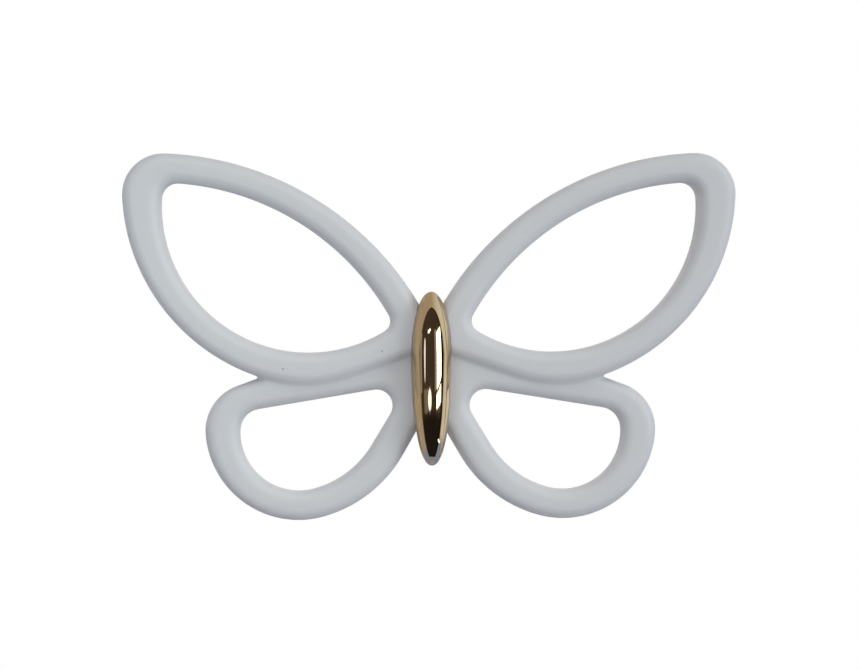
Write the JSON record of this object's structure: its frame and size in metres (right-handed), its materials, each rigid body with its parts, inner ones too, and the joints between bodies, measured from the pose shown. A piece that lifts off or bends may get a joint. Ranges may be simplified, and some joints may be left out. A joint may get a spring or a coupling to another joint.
{
  "type": "butterfly ornament",
  "caption": "Flat-backed butterfly ornament with open, rounded white wing loops and a proud polished gold spindle body, screwed to a panel through a threaded boss.",
  "frame": {"origin": "centre of the fixing thread's mouth, on the flat back", "axes": "+X across the wings, to the right as seen from the front, +Y out of the back into the panel, +Z towards the head"},
  "size_m": [0.1004, 0.0078, 0.06],
  "materials": {
    "wings": "matt white",
    "gold": "mirror-polished gold plate",
    "screws": "zinc plate"
  },
  "bodies": {
    "root": {"wing_frame": "wings", "body": "gold", "body_screws": "screws"}
  },
  "joints": []
}
